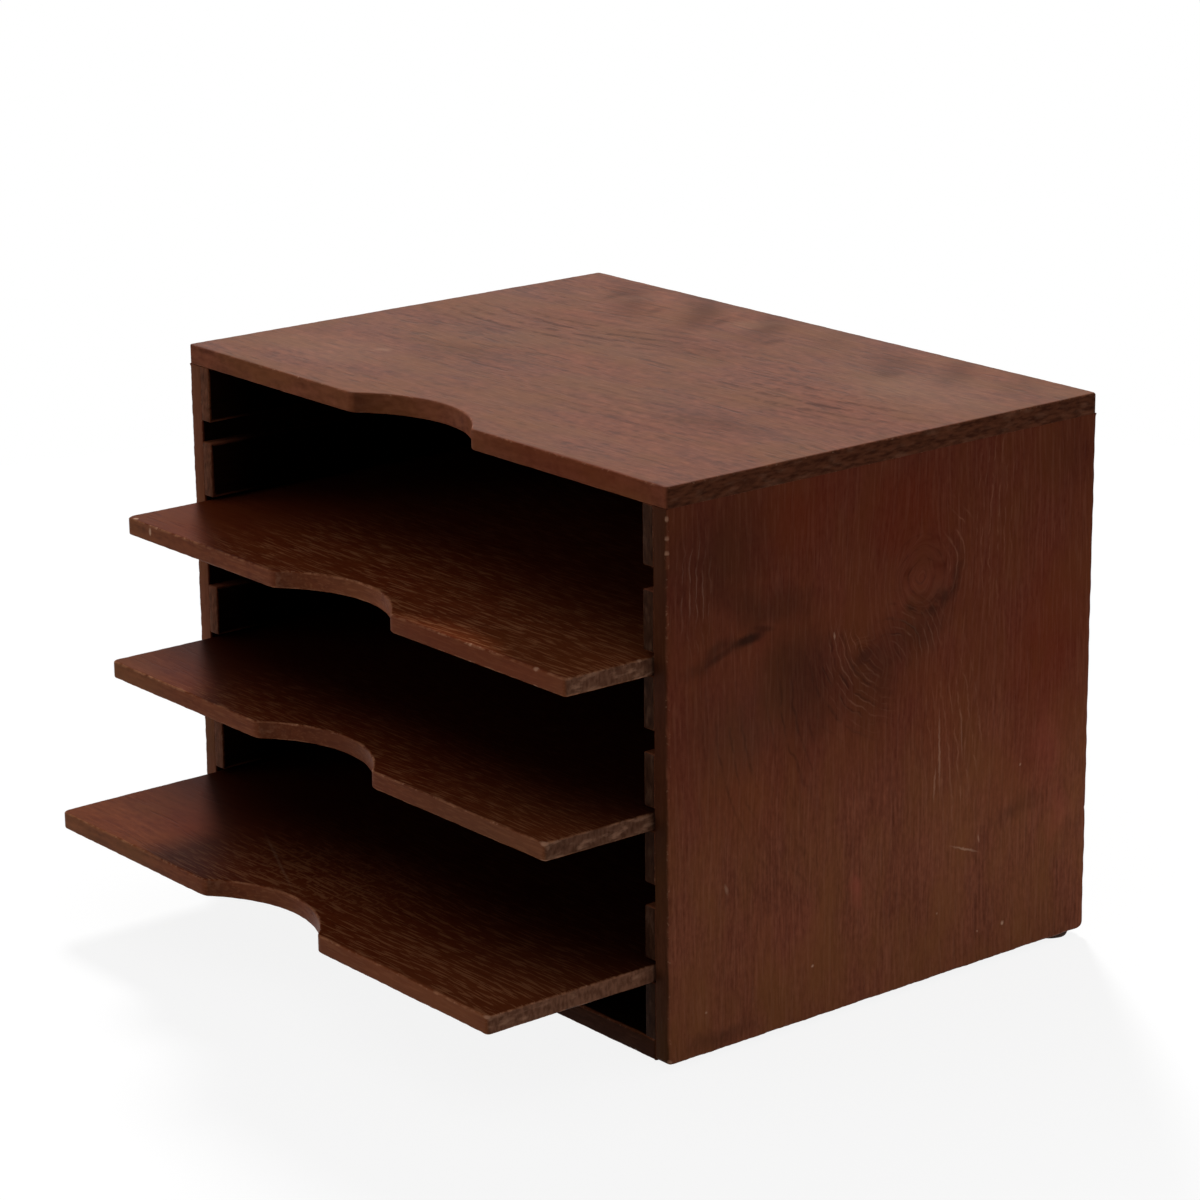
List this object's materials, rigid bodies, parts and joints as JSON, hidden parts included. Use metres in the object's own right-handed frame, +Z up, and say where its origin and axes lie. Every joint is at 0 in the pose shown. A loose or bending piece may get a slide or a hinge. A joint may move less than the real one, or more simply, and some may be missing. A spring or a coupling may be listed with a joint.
{
  "type": "paper tray rack",
  "caption": "Open-fronted wooden desk case with grooved runners and flat sliding paper trays, each with a finger scoop in its front edge.",
  "frame": {"origin": "centre of the case's footprint, on the surface that the foot pads stand on", "axes": "+X to the right, +Y to the back (the open front faces -Y), +Z up"},
  "size_m": [0.34, 0.3275, 0.249],
  "materials": {
    "side_wood": "satin stain",
    "top_wood": "satin stain",
    "bottom_wood": "satin stain",
    "tray_wood": "satin stain",
    "runner_wood": "satin stain",
    "back_plywood": "matt stain",
    "dowel_wood": "bare",
    "pin_steel": "dull",
    "pad_felt": "pressed felt"
  },
  "bodies": {
    "case_body": {"left_side_panel": "side_wood", "right_side_panel": "side_wood", "top_board": "top_wood", "bottom_board": "bottom_wood", "back_panel": "back_plywood", "top_dowels": "dowel_wood", "bottom_dowels": "dowel_wood", "back_panel_pins": "pin_steel", "left_runner_1": "runner_wood", "left_runner_2": "runner_wood", "left_runner_3": "runner_wood", "left_runner_4": "runner_wood", "left_runner_5": "runner_wood", "left_runner_6": "runner_wood", "left_runner_7": "runner_wood", "right_runner_1": "runner_wood", "right_runner_2": "runner_wood", "right_runner_3": "runner_wood", "right_runner_4": "runner_wood", "right_runner_5": "runner_wood", "right_runner_6": "runner_wood", "right_runner_7": "runner_wood", "front_left_foot": "pad_felt", "front_right_foot": "pad_felt", "rear_left_foot": "pad_felt", "rear_right_foot": "pad_felt"},
    "upper_tray_body": {"upper_tray": "tray_wood"},
    "middle_tray_body": {"middle_tray": "tray_wood"},
    "lower_tray_body": {"lower_tray": "tray_wood"}
  },
  "joints": [
    {"name": "upper_tray_slide", "type": "slide", "parent": "case_body", "child": "upper_tray_body", "axis": [0, -1, 0], "range_m": [-0.044, 0.153]},
    {"name": "middle_tray_slide", "type": "slide", "parent": "case_body", "child": "middle_tray_body", "axis": [0, -1, 0], "range_m": [-0.0555, 0.1415]},
    {"name": "lower_tray_slide", "type": "slide", "parent": "case_body", "child": "lower_tray_body", "axis": [0, -1, 0], "range_m": [-0.0855, 0.1115]}
  ]
}
